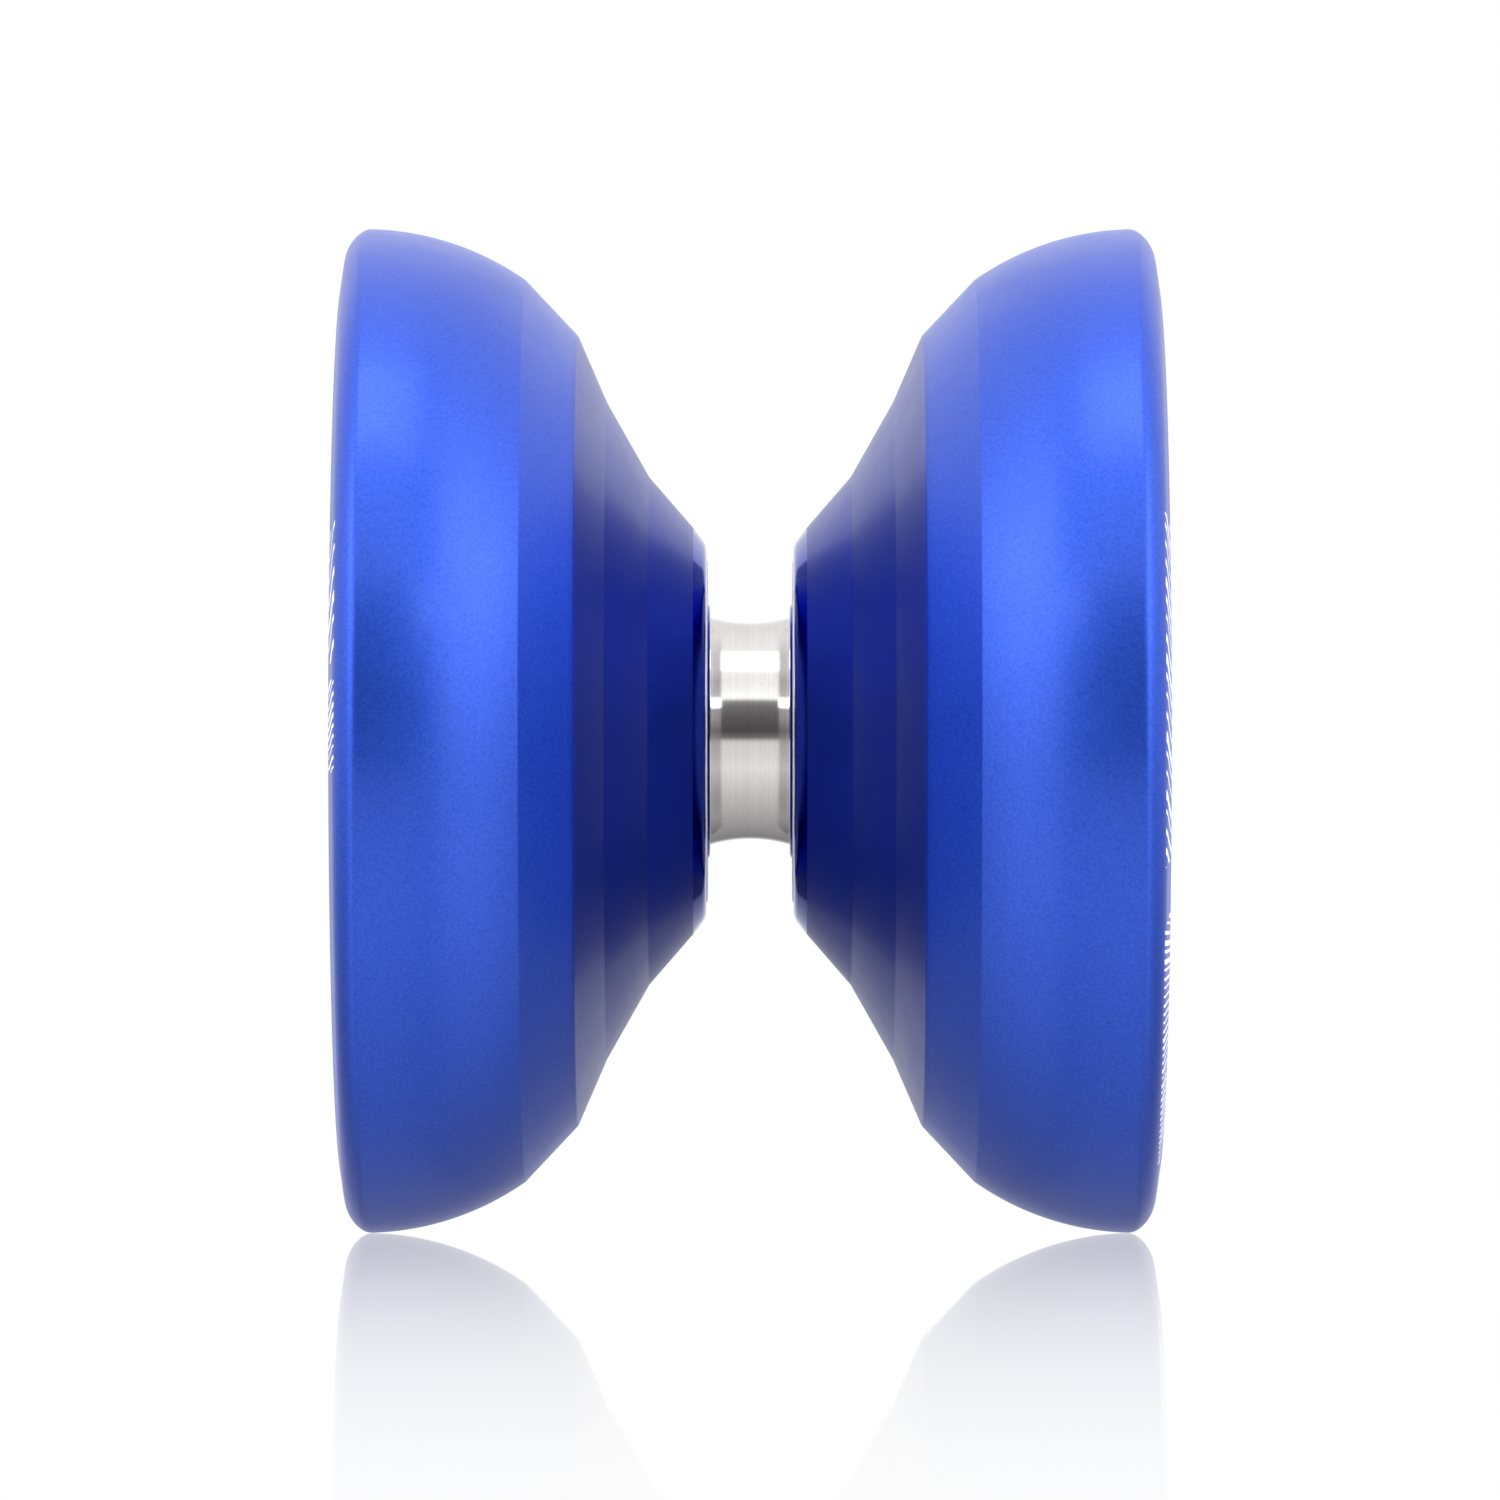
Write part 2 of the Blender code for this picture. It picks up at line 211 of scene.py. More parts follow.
def new_object(name, mesh, *materials):
    obj = bpy.data.objects.new(name, mesh)
    bpy.context.scene.collection.objects.link(obj)
    for material in materials:
        mesh.materials.append(material)
    mesh.shade_smooth()
    return obj


def turned_mesh(name, outline, segments, closed=True, second_material=lambda row: False):
    """A mesh turned round the axle. In an open outline the first and last points are on the axle.
    A radius may be a number or a function of the angle."""
    angles = [2 * math.pi * step / segments for step in range(segments)]
    vertices, rows = [], []
    for x, radius in outline:
        if radius == 0:
            rows.append([len(vertices)] * segments)
            vertices.append(on_circle(x, 0, 0))
        else:
            rows.append(list(range(len(vertices), len(vertices) + segments)))
            for angle in angles:
                here = radius(angle) if callable(radius) else radius
                vertices.append(on_circle(x, here, angle))
    pairs = list(zip(rows, rows[1:] + rows[:1] if closed else rows[1:]))
    faces, second = [], []
    for row, (low, high) in enumerate(pairs):
        for step in range(segments):
            after = (step + 1) % segments
            corners = [low[step], low[after], high[after], high[step]]
            faces.append(list(dict.fromkeys(corners)))
            second.append(second_material(row))
    mesh = bpy.data.meshes.new(name)
    mesh.from_pydata(vertices, [], faces)
    mesh.polygons.foreach_set("material_index", [int(flag) for flag in second])
    outward = bmesh.new()
    outward.from_mesh(mesh)
    bmesh.ops.recalc_face_normals(outward, faces=outward.faces[:])
    outward.to_mesh(mesh)
    outward.free()
    return mesh


def turned(name, outline, segments, material):
    """A closed ring turned from an outline whose corners are already rounded."""
    mesh = turned_mesh(name, supported(outline, closed=True), segments)
    return new_object(name, mesh, material)


def cut(obj, cutter, operation="DIFFERENCE"):
    """Applies an exact Boolean at once and removes the cutter."""
    modifier = obj.modifiers.new("cut", "BOOLEAN")
    modifier.object = cutter
    modifier.operation = operation
    modifier.solver = "EXACT"
    graph = bpy.context.evaluated_depsgraph_get()
    mesh = bpy.data.meshes.new_from_object(obj.evaluated_get(graph))
    obj.modifiers.clear()
    obj.data = mesh
    bpy.data.objects.remove(cutter)
    return obj


def thread_radius(x, crest, root):
    """The radius of a right-handed M4 thread at x, as a function of the angle."""

    def at(angle):
        phase = (x / PITCH - angle / (2 * math.pi)) % 1
        from_crest = min(phase, 1 - phase) * PITCH
        depth = min(max((from_crest - CREST_HALF_WIDTH) / FLANK_WIDTH, 0), 1)
        return crest - (crest - root) * depth * depth * (3 - 2 * depth)

    return at


def narrower(radius, cone):
    return lambda angle: min(radius(angle), cone)


def wider(radius, cone):
    return lambda angle: max(radius(angle), cone)


# Materials


class Nodes:
    """Adds nodes to one tree. A value given to it is a number, a colour or another node's output."""

    def __init__(self, tree):
        self.tree = tree

    def fill(self, made, inputs):
        """Sets or links a node's inputs, by their names or numbers."""
        for key, value in inputs.items():
            self.fill_socket(made.inputs[key], value)

    def fill_socket(self, socket, value):
        if isinstance(value, bpy.types.NodeSocket):
            self.tree.links.new(value, socket)
        else:
            socket.default_value = value

    def add(self, kind, inputs=None, **settings):
        made = self.tree.nodes.new(f"ShaderNode{kind}")
        for key, value in settings.items():
            setattr(made, key, value)
        self.fill(made, inputs or {})
        return made

    def math(self, operation, *values):
        return self.add("Math", dict(enumerate(values)), operation=operation).outputs[0]

    def product(self, first, *others):
        for value in others:
            first = self.math("MULTIPLY", first, value)
        return first

    def ranged(self, value, low, high, to_low=0.0, to_high=1.0, smooth=False):
        inputs = {"Value": value, "From Min": low, "From Max": high, "To Min": to_low, "To Max": to_high}
        kind = "SMOOTHSTEP" if smooth else "LINEAR"
        return self.add("MapRange", inputs, interpolation_type=kind).outputs["Result"]

    def noise(self, vector, size_mm, detail=2.0, roughness=0.5):
        """Noise whose features are about this many millimetres across."""
        inputs = {"Vector": vector, "Scale": 1 / (size_mm * MM), "Detail": detail, "Roughness": roughness}
        return self.add("TexNoise", inputs).outputs["Fac"]

    def mixed(self, factor, one, two):
        """One colour faded into another."""
        made = self.add("Mix", {"Factor": factor}, data_type="RGBA")
        colours = [socket for socket in made.inputs if socket.type == "RGBA"]
        for socket, value in zip(colours, (one, two)):
            self.fill_socket(socket, value)
        return next(socket for socket in made.outputs if socket.type == "RGBA")

    def bumped(self, height, strength, distance_mm, normal=None):
        inputs = {"Height": height, "Strength": strength, "Distance": distance_mm * MM}
        if normal is not None:
            inputs["Normal"] = normal
        return self.add("Bump", inputs).outputs["Normal"]

    def object_place(self):
        return self.add("TexCoord").outputs["Object"]

    def around_axle(self, place):
        """(x, r, angle) of a point: x and r in millimetres, and the angle in degrees from straight
        up, growing towards -Y."""
        along, across, up = self.add("SeparateXYZ", {0: place}).outputs
        squares = self.product(across, across), self.product(up, up)
        radius = self.product(self.math("SQRT", self.math("ADD", *squares)), 1 / MM)
        angle = self.math("ARCTAN2", self.product(across, -1.0), up)
        return self.product(along, 1 / MM), radius, self.math("DEGREES", angle)

    def turning_marks(self, x, radius, size_mm):
        """Fine rings as a lathe tool leaves them: noise that changes across the cut and not along
        it."""
        section = self.add("CombineXYZ", {0: x, 1: radius}).outputs[0]
        inputs = {"Vector": section, "Scale": 1 / size_mm, "Detail": 3.0}
        return self.add("TexNoise", inputs).outputs["Fac"]


def new_material(name):
    made = bpy.data.materials.new(name)
    made.use_nodes = True
    return made, Nodes(made.node_tree), made.node_tree.nodes["Principled BSDF"]


# Groups of engraved bars on each rim: angles from straight up, spacing in millimetres, the share of
# the spacing that is bar, and lean
MARKS = {
    "left": [((65, 82), 1.4, 0.32, 0.9), ((84, 95), 0.6, 0.4, 0.5)],
    "right": [((64, 106), 1.1, 0.4, 0.9), ((113, 153), 0.6, 0.42, 0.5)],
}
MARK_BAND = (25.0, 26.9)
MARK_WHITE = (0.78, 0.80, 0.86, 1)

# Anodised colours: two that clouds fade between, and that of the grain's bright specks
RIM_BLUES = (0.0076, 0.0505, 0.405, 1), (0.0090, 0.0542, 0.43, 1), (0.0160, 0.0710, 0.505, 1)
# The gap's blues hold painted shade: darker than the rim's, for the shade between the two halves.
GAP_SHADE_BLUES = (0.0048, 0.0230, 0.262, 1), (0.0056, 0.0250, 0.272, 1), (0.0092, 0.0330, 0.31, 1)
SPECK_RANGE = (0.35, 0.65)

# The painted shade of the gap covers the gap faces: they lie within this radius, give or take the fade,
# and above r = slope * |x| + start.
# The cup's faces lie below that line.
GAP_RADIUS, GAP_FADE = 22.0, 0.4
CUP_LINE_SLOPE, CUP_LINE_START = 2.0, 0.5


def hatch(n, radius, angle, sector, spacing, share, lean):
    """1 on the bars of a group of slanted bars of uneven width between two angles, 0 elsewhere."""
    narrowest, widest = 0.5, 1.5
    along = n.product(angle, RIM_RADIUS * math.pi / 180)
    place = n.math("DIVIDE", n.math("ADD", along, n.product(radius, lean)), spacing)
    bar_number = n.math("FLOOR", place)
    chance = n.add("TexWhiteNoise", noise_dimensions="1D")
    n.fill(chance, {"W": bar_number})
    width = n.ranged(chance.outputs["Value"], 0, 1, share * narrowest, share * widest)
    bar = n.math("LESS_THAN", n.math("FRACT", place), width)
    inside = n.product(n.math("GREATER_THAN", angle, sector[0]), n.math("LESS_THAN", angle, sector[1]))
    return n.product(bar, inside)


def engraving(n, side, x, radius, angle):
    """1 on the bars of every group on this side's rim, outside the crease, 0 elsewhere."""
    marks = 0.0
    for group in MARKS[side]:
        marks = n.math("MAXIMUM", marks, hatch(n, radius, angle, *group))
    inner = n.math("GREATER_THAN", radius, MARK_BAND[0])
    outer = n.math("LESS_THAN", radius, MARK_BAND[1])
    past_crease = n.math("GREATER_THAN", n.math("ABSOLUTE", x), RIM_CREASE_X)
    return n.product(marks, inner, outer, past_crease)


def anodised_tint_and_gap_shade(n, x, radius, cloud, grain):
    """The anodised colour, with painted shade that makes the faces down in the gap between the halves
    darker than the rim and the cup.
    """
    speck = n.ranged(grain, *SPECK_RANGE)
    rim, gap = [
        n.mixed(speck, n.mixed(cloud, one, two), bright) for one, two, bright in (RIM_BLUES, GAP_SHADE_BLUES)
    ]
    from_cup = n.math("SUBTRACT", radius, n.product(n.math("ABSOLUTE", x), CUP_LINE_SLOPE))
    gap_side = n.math("GREATER_THAN", from_cup, CUP_LINE_START)
    gap_shade_fade = n.ranged(radius, GAP_RADIUS + GAP_FADE, GAP_RADIUS - GAP_FADE)
    # Painted shade: the gap faces between the halves take the darker blues.
    return n.mixed(n.product(gap_side, gap_shade_fade), rim, gap)


def blue_anodised(side):
    """Bead-blasted, blue anodised aluminium with laser-engraved bars round the rim's outer edge, and
    painted shade on the faces in the gap.
    """
    made, n, shader = new_material(f"blue_anodised_{side}")
    place = n.object_place()
    x, radius, angle = n.around_axle(place)
    cloud = n.noise(place, 2.5, detail=3)
    grain = n.noise(place, 0.16, roughness=0.6)
    marks = engraving(n, side, x, radius, angle)
    rough = n.ranged(cloud, 0.3, 0.7, 0.38, 0.42)
    rings = n.bumped(n.turning_marks(x, radius, 0.12), 0.05, 0.002)
    n.fill(shader, {
        # The base colour carries the painted shade of the gap faces.
        "Base Color": n.mixed(marks, anodised_tint_and_gap_shade(n, x, radius, cloud, grain), MARK_WHITE),
        "Metallic": n.product(n.math("SUBTRACT", 1.0, marks), 0.79),
        "Roughness": n.math("ADD", rough, n.product(marks, 0.3)),
        "Normal": n.bumped(grain, 0.25, 0.006, rings),
        "Coat Weight": 0.31,
        "Coat Roughness": 0.22,
        "Coat IOR": 1.5,
    })
    return made


def blue_turned():
    """The part of each half that was masked from blasting: glossier, with fine turning marks."""
    made, n, shader = new_material("blue_anodised_turned")
    x, radius, _ = n.around_axle(n.object_place())
    marks = n.turning_marks(x, radius, 0.05)
    n.fill(shader, {
        "Base Color": n.mixed(marks, (0.006, 0.026, 0.32, 1), (0.010, 0.040, 0.42, 1)),
        "Metallic": 1.0,
        "Roughness": n.ranged(marks, 0.3, 0.7, 0.08, 0.13),
        "Normal": n.bumped(marks, 0.2, 0.002),
    })
    return made


def steel(name, colour, roughness, mark_mm, strength):
    """Turned or ground steel: rings of slightly different grey and gloss round the axle."""
    made, n, shader = new_material(name)
    place = n.object_place()
    x, radius, _ = n.around_axle(place)
    rings, grain = n.turning_marks(x, radius, mark_mm), n.noise(place, 0.09)
    marks = n.math("ADD", n.product(rings, 0.6), n.product(grain, 0.4))
    cloud = n.noise(place, 1.5, detail=3)
    uneven = n.math("ADD", n.product(marks, 0.5), n.product(cloud, 0.5))
    darker = tuple(channel * 0.8 for channel in colour)
    n.fill(shader, {
        "Base Color": n.mixed(n.ranged(marks, 0.3, 0.7), (*darker, 1), (*colour, 1)),
        "Metallic": 1.0,
        "Roughness": n.ranged(uneven, 0.3, 0.7, roughness * 0.75, roughness * 1.25),
        "Normal": n.bumped(marks, strength, 0.003),
    })
    return made


def silicone():
    """Cast white silicone: matt, faintly see-through, with a fine cast texture and dust."""
    made, n, shader = new_material("white_silicone")
    place = n.object_place()
    fine = n.noise(place, 0.12, detail=3)
    cloud = n.ranged(n.noise(place, 1.2), 0.3, 0.7)
    n.fill(shader, {
        "Base Color": n.mixed(cloud, (0.80, 0.79, 0.76, 1), (0.88, 0.875, 0.85, 1)),
        "Roughness": n.ranged(fine, 0.3, 0.7, 0.5, 0.7),
        "Subsurface Weight": 0.25,
        "Subsurface Radius": (0.0008, 0.0007, 0.0006),
        "Normal": n.bumped(fine, 0.2, 0.01),
    })
    return made


def polished_steel():
    """Chrome steel balls: a near mirror with the faintest rolling haze."""
    made, n, shader = new_material("polished_steel")
    cloud = n.noise(n.object_place(), 0.3, detail=3)
    n.fill(shader, {
        "Base Color": n.mixed(cloud, (0.72, 0.72, 0.73, 1), (0.80, 0.80, 0.81, 1)),
        "Metallic": 1.0,
        "Roughness": n.ranged(cloud, 0.3, 0.7, 0.05, 0.1),
    })
    return made


BEARING_STEEL = steel("bearing_steel", (0.56, 0.54, 0.54), 0.08, 0.06, 0.2)
SHIELD_STEEL = steel("shield_steel", (0.60, 0.59, 0.58), 0.28, 0.1, 0.2)
RETAINER_STEEL = steel("retainer_steel", (0.62, 0.58, 0.48), 0.3, 0.15, 0.2)
AXLE_STEEL = steel("axle_steel", (0.30, 0.31, 0.33), 0.32, 0.08, 0.25)
BLUE_TURNED = blue_turned()
WHITE_SILICONE = silicone()
POLISHED_STEEL = polished_steel()


# The two halves


def tapped_hole():
    """The hole's outline from its drilled end to its mouth, with the thread's radius on the way."""
    mouth_radius, mouth_depth, drill_tip = HOLE_CREST + 0.35, 0.55, 0.6
    points = [(TAPPED_END_X + drill_tip, 0), (TAPPED_END_X + 0.05, HOLE_ROOT - 0.03)]
    steps = round((TAPPED_END_X - POST_TIP_X - 0.02) / THREAD_STEP)
    for step in range(steps):
        x = TAPPED_END_X - step * THREAD_STEP
        cone = mouth_radius - (x - POST_TIP_X) / mouth_depth * (mouth_radius - HOLE_ROOT)
        points.append((x, wider(thread_radius(x, HOLE_CREST, HOLE_ROOT), cone)))
    return points + [(POST_TIP_X, mouth_radius + 0.03)]


def rim_outline():
    """The rim's big outer curve, the soft crease at its widest, and the round edge that leans out to
    the flat land."""
    across = RIM_ARC_CENTRE_X - RIM_CREASE_X
    centre = np.array((RIM_ARC_CENTRE_X, RIM_RADIUS - math.sqrt(RIM_ARC_RADIUS**2 - across**2)))
    turn = math.radians(RIM_EDGE_START)
    edge_centre = np.array((
        RIM_CREASE_X - RIM_EDGE_RADIUS * math.cos(turn),
        RIM_RADIUS - RIM_EDGE_RADIUS * math.sin(turn),
    ))
    apart = np.linalg.norm(edge_centre - centre)
    towards = (edge_centre - centre) / apart
    from_big, from_edge = RIM_ARC_RADIUS - RIM_CREASE_RADIUS, RIM_EDGE_RADIUS - RIM_CREASE_RADIUS
    along = (from_big**2 - from_edge**2 + apart**2) / (2 * apart)
    beside = math.sqrt(from_big**2 - along**2)
    crease_centre = centre + towards * along + np.array((towards[1], -towards[0])) * beside
    to_crease, to_edge = crease_centre - centre, crease_centre - edge_centre
    crease_start = math.degrees(math.atan2(to_crease[1], to_crease[0]))
    crease_end = math.degrees(math.atan2(to_edge[1], to_edge[0]))
    big_curve = arc(centre, RIM_ARC_RADIUS, 90 + RIM_ARC_SPREAD, crease_start, 36)
    crease = arc(crease_centre, RIM_CREASE_RADIUS, crease_start, crease_end, 10)
    edge = arc(edge_centre, RIM_EDGE_RADIUS, crease_end, RIM_EDGE_END, 14)
    first = (*big_curve[0], 0.12)
    face = [(*edge[-1], 0.6), (HALF_WIDTH, LAND_OUTER_RADIUS, 0.8)]
    return [first] + exact(big_curve[1:] + crease[1:] + edge[1:-1]) + face


def half_outline():
    """The right half from its tapped hole over the gap side and rim into the cup. It also gives the
    number of the first row that is blasted."""
    groove_inner, groove_outer = PAD_INNER_RADIUS - PAD_GAP, PAD_OUTER_RADIUS + PAD_GAP
    groove_x = PAD_BACK_X + PAD_GAP
    shoulder_x = RACE_HALF_WIDTH + 0.02
    hub = [
        (POST_TIP_X, HOLE_CREST + 0.38, 0),
        (POST_TIP_X, POST_RADIUS, 0.12),
        (shoulder_x, POST_RADIUS),
        (shoulder_x, SHOULDER_RADIUS),
        (shoulder_x + 0.22, SHOULDER_RADIUS + 0.05),
        (shoulder_x + 0.22, SEAT_RADIUS),
        (SEAT_LIP_X, SEAT_RADIUS),
        (SEAT_LIP_X, groove_inner, 0.22),
        (groove_x, groove_inner),
        (groove_x, groove_outer),
        (WALL_X, groove_outer, 0.05),
        (WALL_X, 10.37, 1.3),
        (*GLOSS_EDGE, 0.05),
    ]
    blasted = [
        (5.62, 14.17, 0.6),
        (7.97, 18.32, 0.6),
        (9.58, 22.04, 0.5),
    ]
    cup = [
        (HALF_WIDTH, LAND_INNER_RADIUS, 0.1),
        (HALF_WIDTH - 0.42, 23.3, 0.2),
        (14.9, 23.2, 1.2),
        (11.1, 20.2, 3.0),
        (7.3, 13.2, 3.0),
        (6.1, 10.4, 1.5),
        (6.1, 5.6, 0.8),
        (9.0, 5.0, 0.4),
        (9.0, 3.4, 0.3),
        (8.5, 0, 0),
    ]
    corners = hub + blasted + rim_outline() + cup
    body = supported(rounded(corners), closed=False)
    gloss_end = next(row for row, (_, radius) in enumerate(body) if radius > GLOSS_EDGE[1])
    hole = tapped_hole()
    return hole + body[1:], len(hole) + gloss_end - 1


def make_half(side, body):
    outline, first_blasted = half_outline()
    mesh = turned_mesh(
        f"{side}_half_turned",
        outline,
        HALF_SEGMENTS,
        closed=False,
        second_material=lambda row: row < first_blasted,
    )
    if side == "left":
        mesh.transform(Matrix.Rotation(math.pi, 4, "Z"))
    half = new_object(f"{side}_half_turned", mesh, blue_anodised(side), BLUE_TURNED)
    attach(half, body)
    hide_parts(f"{side}_half")


def make_pad(side, sign, body):
    edge = 0.14
    corners = [
        (PAD_FACE_X, PAD_INNER_RADIUS, edge),
        (PAD_BACK_X, PAD_INNER_RADIUS),
        (PAD_BACK_X, PAD_OUTER_RADIUS),
        (PAD_FACE_X, PAD_OUTER_RADIUS, edge),
    ]
    outline = [(sign * x, radius) for x, radius in rounded(corners)]
    pad = turned(f"{side}_silicone_pad", outline, RING_SEGMENTS, WHITE_SILICONE)
    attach(pad, body)
    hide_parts(f"{side}_response_pad")


def make_axle():
    """The threaded axle with chamfered ends and a hexagon socket in its right end."""
    end_radius, chamfer_slope = AXLE_ROOT - 0.08, 1.1
    steps = round(2 * (AXLE_END_X - 0.01) / THREAD_STEP)
    outline = [(-AXLE_END_X, 0), (-AXLE_END_X, end_radius)]
    for step in range(1, steps):
        x = -AXLE_END_X + step * THREAD_STEP
        cone = end_radius + (AXLE_END_X - abs(x)) * chamfer_slope
        outline.append((x, narrower(thread_radius(x, AXLE_CREST, AXLE_ROOT), cone)))
    outline += [(AXLE_END_X, end_radius), (AXLE_END_X, 0)]
    mesh = turned_mesh("axle", outline, AXLE_SEGMENTS, closed=False)
    axle = new_object("threaded_axle", mesh)
    across_flats, depth = 2.0, 2.2
    socket_radius = across_flats / 2 / math.cos(math.pi / 6)
    socket = [
        (AXLE_END_X + 0.5, 0),
        (AXLE_END_X + 0.5, socket_radius),
        (AXLE_END_X - depth, socket_radius),
        (AXLE_END_X - depth - 0.4, 0),
    ]
    cut(axle, new_object("socket", turned_mesh("socket", socket, 6, closed=False)))
    axle.data.materials.clear()
    axle.data.materials.append(AXLE_STEEL)
    axle.data.shade_smooth()
    axle.data.set_sharp_from_angle(angle=math.radians(40))
    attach(axle, "left_side")
    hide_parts("axle_screw")


# The ball bearing


def raceway(half_angle, start):
    """The ball groove's arc about the pitch circle."""
    return arc((0, PITCH_RADIUS), RACEWAY_RADIUS, start - half_angle, start + half_angle, 14)


def make_outer_race():
    half, chord = RACE_HALF_WIDTH, STRING_GROOVE_HALF_WIDTH
    groove_radius = (chord**2 + STRING_GROOVE_DEPTH**2) / (2 * STRING_GROOVE_DEPTH)
    spread = math.degrees(math.asin(chord / groove_radius))
    centre = (0, RACE_RADIUS - STRING_GROOVE_DEPTH + groove_radius)
    string_groove = arc(centre, groove_radius, 270 - spread, 270 + spread, 32)
    side = [
        (half, RACE_RADIUS, 0.1),
        (half, 5.7, 0.04),
        (2.12, 5.7, 0.03),
        (2.12, 5.84, 0.03),
        (1.83, 5.84, 0.03),
        (1.83, 5.7, 0.03),
        (1.6, 5.7, 0.03),
        (1.6, OUTER_LAND_RADIUS, 0.05),
    ]
    other_side = [(-x, radius, edge) for x, radius, edge in reversed(side)]
    corners = exact(string_groove) + side + exact(raceway(48, 90)) + other_side
    race = turned("concave_outer_race", rounded(corners), RING_SEGMENTS * 2, BEARING_STEEL)
    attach(race, "bearing_ring")
    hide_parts("bearing_outer_race")


def make_inner_race():
    half = RACE_HALF_WIDTH
    corners = [
        (-half, BORE_RADIUS, 0.12),
        (half, BORE_RADIUS, 0.12),
        (half, INNER_LAND_RADIUS, 0.06),
        *exact(reversed(raceway(41, 270))),
        (-half, INNER_LAND_RADIUS, 0.06),
    ]
    race = turned("inner_race_ring", rounded(corners), RING_SEGMENTS, BEARING_STEEL)
    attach(race, "left_side")
    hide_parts("bearing_inner_race")


def ball_angles():
    return [2 * math.pi * number / BALL_COUNT for number in range(BALL_COUNT)]


def make_balls():
    for number, angle in enumerate(ball_angles(), start=1):
        mesh = bmesh.new()
        place = Matrix.Translation(on_circle(0, PITCH_RADIUS, angle))
        bmesh.ops.create_icosphere(mesh, subdivisions=4, radius=BALL_RADIUS * MM, matrix=place)
        data = bpy.data.meshes.new(f"ball_{number}")
        mesh.to_mesh(data)
        mesh.free()
        ball = new_object(f"chrome_ball_{number}", data, POLISHED_STEEL)
        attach(ball, f"ball_{number}")
        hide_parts(f"bearing_ball_{number}")


def radial_pins(radius, x, angles):
    """Round pins that stand out from the axle at these angles, as one cutter."""
    mesh = bmesh.new()
    for angle in angles:
        place = Matrix.Rotation(angle, 4, "X") @ Matrix.Translation((x * MM, 0, PITCH_RADIUS * MM))
        size = radius * MM
        bmesh.ops.create_cone(mesh, cap_ends=True, segments=48, radius1=size, radius2=size,
                              depth=2 * MM, matrix=place)
    data = bpy.data.meshes.new("pins")
    mesh.to_mesh(data)
    mesh.free()
    return new_object("pins", data)


def make_cage():
    inner, outer = 4.53, 4.99
    notch_radius, notch_x = 0.72, -0.1
    corners = [(CAGE_BACK_X, inner), (CAGE_BACK_X, outer), (CAGE_TIP_X, outer), (CAGE_TIP_X, inner)]
    cage = turned("crown_cage", rounded(corners, 0.05), RING_SEGMENTS, RETAINER_STEEL)
    between = [angle + math.pi / BALL_COUNT for angle in ball_angles()]
    cut(cage, radial_pins(BALL_RADIUS + 0.05, 0, ball_angles()))
    cut(cage, radial_pins(notch_radius, notch_x, between))
    cage.data.materials.clear()
    cage.data.materials.append(RETAINER_STEEL)
    cage.data.shade_smooth()
    cage.data.set_sharp_from_angle(angle=math.radians(35))
    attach(cage, "cage")
    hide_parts("bearing_cage")


def make_shield(side, sign):
    """A stamped shield with a shallow step and a rolled inner lip."""
    inner = 4.28
    corners = [
        (SHIELD_INNER_X, inner, 0.03),
        (SHIELD_OUTER_X, inner, 0.06),
        (SHIELD_OUTER_X, 4.5, 0.05),
        (SHIELD_OUTER_X - 0.05, 4.58, 0.05),
        (SHIELD_OUTER_X - 0.05, 5.3, 0.05),
        (SHIELD_OUTER_X, 5.38, 0.05),
        (SHIELD_OUTER_X, SHIELD_RADIUS, 0.03),
        (SHIELD_INNER_X, SHIELD_RADIUS, 0.03),
    ]
    outline = [(sign * x, radius) for x, radius in rounded(corners)]
    shield = turned(f"{side}_stamped_shield", outline, RING_SEGMENTS, SHIELD_STEEL)
    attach(shield, "bearing_ring")
    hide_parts(f"{side}_shield")


def make_snap_ring(side, sign):
    """An open ring of round wire with domed ends."""
    gap = math.radians(14)
    steps, sides = 160, 16
    stations = [(gap + (2 * math.pi - 2 * gap) * step / steps, 1.0) for step in range(steps + 1)]
    tip = WIRE_RADIUS / WIRE_RING_RADIUS
    dome = [math.radians(angle) for angle in (20, 45, 70, 85)]
    before = [(gap - tip * math.sin(a), math.cos(a)) for a in reversed(dome)]
    after = [(2 * math.pi - gap + tip * math.sin(a), math.cos(a)) for a in dome]
    mesh = bmesh.new()
    rings = []
    for angle, scale in before + stations + after:
        section = arc((sign * WIRE_RING_X, WIRE_RING_RADIUS), WIRE_RADIUS * scale, 0, 360, sides)
        rings.append([mesh.verts.new(on_circle(x, radius, angle)) for x, radius in section[:-1]])
    for low, high in zip(rings, rings[1:]):
        for corner in range(sides):
            after_corner = (corner + 1) % sides
            mesh.faces.new((low[corner], low[after_corner], high[after_corner], high[corner]))
    mesh.faces.new(rings[0])
    mesh.faces.new(rings[-1])
    bmesh.ops.recalc_face_normals(mesh, faces=mesh.faces[:])
    data = bpy.data.meshes.new(f"{side}_wire")
    mesh.to_mesh(data)
    mesh.free()
    wire = new_object(f"{side}_wire_ring", data, RETAINER_STEEL)
    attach(wire, "bearing_ring")
    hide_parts(f"{side}_snap_ring")


def make_object():
    make_half("left", "left_side")
    make_half("right", "right_side")
    make_pad("left", -1, "left_side")
    make_pad("right", 1, "right_pad_carrier")
    make_axle()
    make_outer_race()
    make_inner_race()
    make_balls()
    make_cage()
    for side, sign in (("left", -1), ("right", 1)):
        make_shield(side, sign)
        make_snap_ring(side, sign)


# The studio


def add_shader(n, kind, inputs):
    return n.add(kind, inputs).outputs[0]


